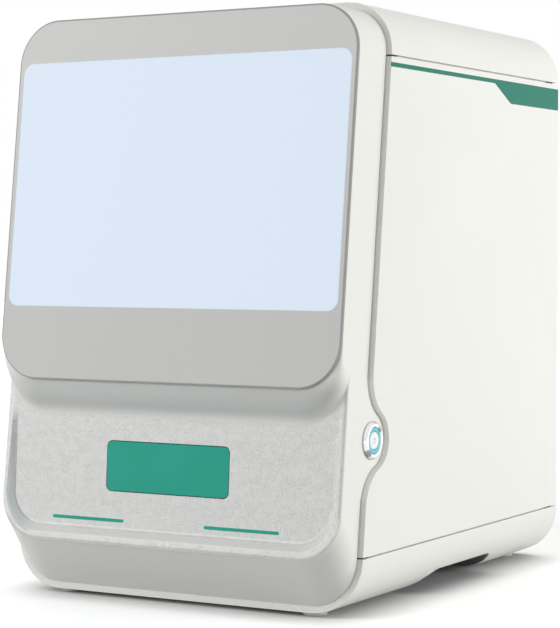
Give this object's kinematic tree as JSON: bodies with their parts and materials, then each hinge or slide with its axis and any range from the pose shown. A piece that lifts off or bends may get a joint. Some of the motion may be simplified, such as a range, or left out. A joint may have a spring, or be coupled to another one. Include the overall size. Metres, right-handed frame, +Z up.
{
  "type": "hematology analyzer",
  "caption": "Bench blood analyzer with a leaning display panel, a recessed lower front with a cartridge drawer, a flank power button and hand recesses in the base.",
  "frame": {"origin": "middle of the footprint, on the surface that the feet stand on", "axes": "+Z up, +Y towards the rear, +X to the right seen from the front"},
  "size_m": [0.2852, 0.3681, 0.4205],
  "materials": {
    "white_case": "white moulded case, fine satin",
    "grey_case": "light grey moulded front with a fine grain",
    "panel_glass": "back-printed grey cover glass, opaque",
    "display": "lit display, pale blue",
    "teal": "teal satin plastic",
    "chrome": "bright chrome",
    "cyan_light": "cyan light ring",
    "steel": "satin steel",
    "aluminium": "plain aluminium",
    "dark_plastic": "dark grey plastic",
    "black_metal": "black painted metal",
    "foot_rubber": "pale grey rubber",
    "brass": "machined brass",
    "circuit_board": "green circuit board"
  },
  "bodies": {
    "housing": {"base_shell": "white_case", "left_side_panel": "white_case", "right_side_panel": "white_case", "top_cover": "white_case", "rear_panel": "white_case", "front_shell": "grey_case", "screen_glass": "panel_glass", "display_module": "display", "power_button_barrel": "chrome", "power_button_nut": "steel", "left_drawer_rail": "steel", "right_drawer_rail": "steel", "fan_guard": "steel", "usb_port_inner": "steel", "usb_port_outer": "steel", "network_port": "steel", "display_bracket": "aluminium", "chassis_deck": "aluminium", "power_supply": "aluminium", "left_grip_liner": "dark_plastic", "right_grip_liner": "dark_plastic", "power_button_switch": "dark_plastic", "lamp": "dark_plastic", "mains_inlet": "dark_plastic", "switch_frame": "dark_plastic", "fan_frame": "dark_plastic", "drive_motor": "black_metal", "optics_column": "black_metal", "focus_motor": "black_metal", "foot_front_left": "foot_rubber", "foot_front_right": "foot_rubber", "foot_rear_left": "foot_rubber", "foot_rear_right": "foot_rubber", "mainboard": "circuit_board"},
    "drawer": {"drawer_front": "teal", "drawer_tray": "dark_plastic"},
    "drive_pinion": {"drive_pinion": "brass"},
    "focus_carriage": {"focus_carriage": "aluminium", "objective_lens": "chrome", "lens_tube": "black_metal", "camera": "dark_plastic"},
    "focus_screw": {"focus_screw": "steel"},
    "power_button": {"power_button_cap": "chrome", "power_button_light_ring": "cyan_light"},
    "rocker_switch": {"rocker_switch": "dark_plastic"},
    "fan_rotor": {"fan_rotor": "dark_plastic"}
  },
  "joints": [
    {"name": "drawer_slide", "type": "slide", "parent": "housing", "child": "drawer", "axis": [0, -1, 0], "range_m": [0, 0.11]},
    {"name": "pinion_spin", "type": "hinge", "parent": "housing", "child": "drive_pinion", "pos_m": [-0.05945, -0.12294, 0.094], "axis": [0, 0, -1], "range_deg": [0, 562]},
    {"name": "focus_slide", "type": "slide", "parent": "housing", "child": "focus_carriage", "axis": [0, 0, 1], "range_m": [-0.002, 0.002]},
    {"name": "focus_screw_spin", "type": "hinge", "parent": "housing", "child": "focus_screw", "pos_m": [0, -0.00494, 0.173], "axis": [0, 0, 1], "range_deg": [-182, 182]},
    {"name": "power_button_press", "type": "slide", "parent": "housing", "child": "power_button", "axis": [-1, 0, 0], "range_m": [0, 0.0015], "stiffness_N_per_m": 600, "springref_m": -0.0005},
    {"name": "rocker_tilt", "type": "hinge", "parent": "housing", "child": "rocker_switch", "pos_m": [-0.0199, 0.17926, 0.099], "axis": [1, 0, 0], "range_deg": [0, 16]},
    {"name": "fan_spin", "type": "hinge", "parent": "housing", "child": "fan_rotor", "pos_m": [-0.06205, 0.16606, 0.303], "axis": [0, 1, 0], "continuous": true}
  ],
  "couplings": [
    {"joint": "pinion_spin", "follows": "drawer_slide", "rad_per_m": 88.889},
    {"joint": "focus_screw_spin", "follows": "focus_slide", "rad_per_m": 1570.8}
  ]
}
